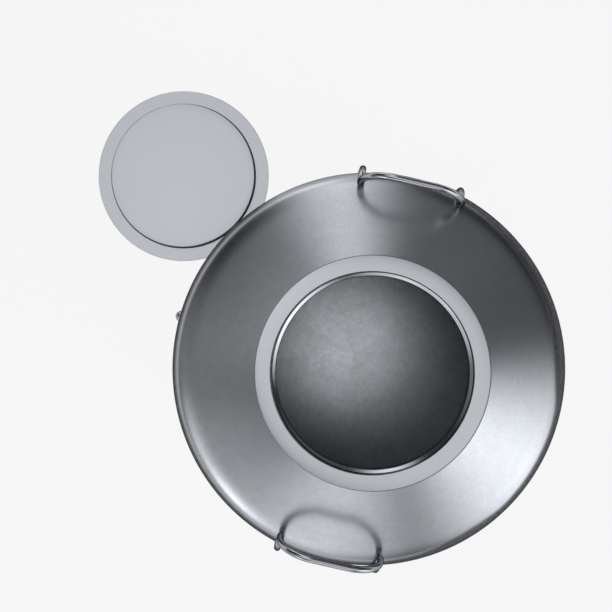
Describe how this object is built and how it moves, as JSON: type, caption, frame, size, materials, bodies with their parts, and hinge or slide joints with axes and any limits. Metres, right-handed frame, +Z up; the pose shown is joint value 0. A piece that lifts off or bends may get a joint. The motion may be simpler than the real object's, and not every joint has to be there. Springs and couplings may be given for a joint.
{
  "type": "olive oil drum",
  "caption": "Round stainless steel oil drum with a sloping shoulder, a flanged open neck, bent wire handles, a loose plug lid and a small stopcock near the floor.",
  "frame": {"origin": "centre of the drum's flat underside, on the floor", "axes": "+Z up along the drum's axis, -Y out along the stopcock, +X and -X through the handles; the loose lid lies towards -X and -Y"},
  "size_m": [0.4573, 0.542, 0.35],
  "materials": {
    "satin_steel": "satin rolled sheet",
    "flat_steel": "fine satin sheet",
    "wire_steel": "bright drawn wire",
    "plated_brass": "bright plating over a brass casting",
    "small_steel": "turned steel",
    "white_seal": "smooth white sealing washer",
    "black_rubber": "matt"
  },
  "bodies": {
    "drum": {"body_wall": "satin_steel", "bottom_pan": "satin_steel", "shoulder": "satin_steel", "neck_collar": "satin_steel", "neck_flange": "flat_steel", "handle_right": "wire_steel", "handle_left": "wire_steel", "tap_socket": "satin_steel", "tap_seal": "white_seal", "tap_body": "plated_brass"},
    "tap_key": {"tap_plug": "small_steel", "tap_oring_upper": "black_rubber", "tap_oring_lower": "black_rubber", "tap_lever": "plated_brass", "tap_lever_screw": "small_steel", "tap_plug_washer": "small_steel", "tap_spring_washer": "small_steel", "tap_plug_nut": "small_steel"},
    "lid": {"lid_plate": "flat_steel", "lid_plug": "flat_steel"}
  },
  "joints": [
    {"name": "tap_turn", "type": "hinge", "parent": "drum", "child": "tap_key", "pos_m": [0, -0.2015, 0.04], "axis": [0, 0, 1], "range_deg": [0, 90]},
    {"name": "lid_lift", "type": "slide", "parent": "drum", "child": "lid", "axis": [0, 0, 1], "range_m": [0, 0.12]}
  ]
}
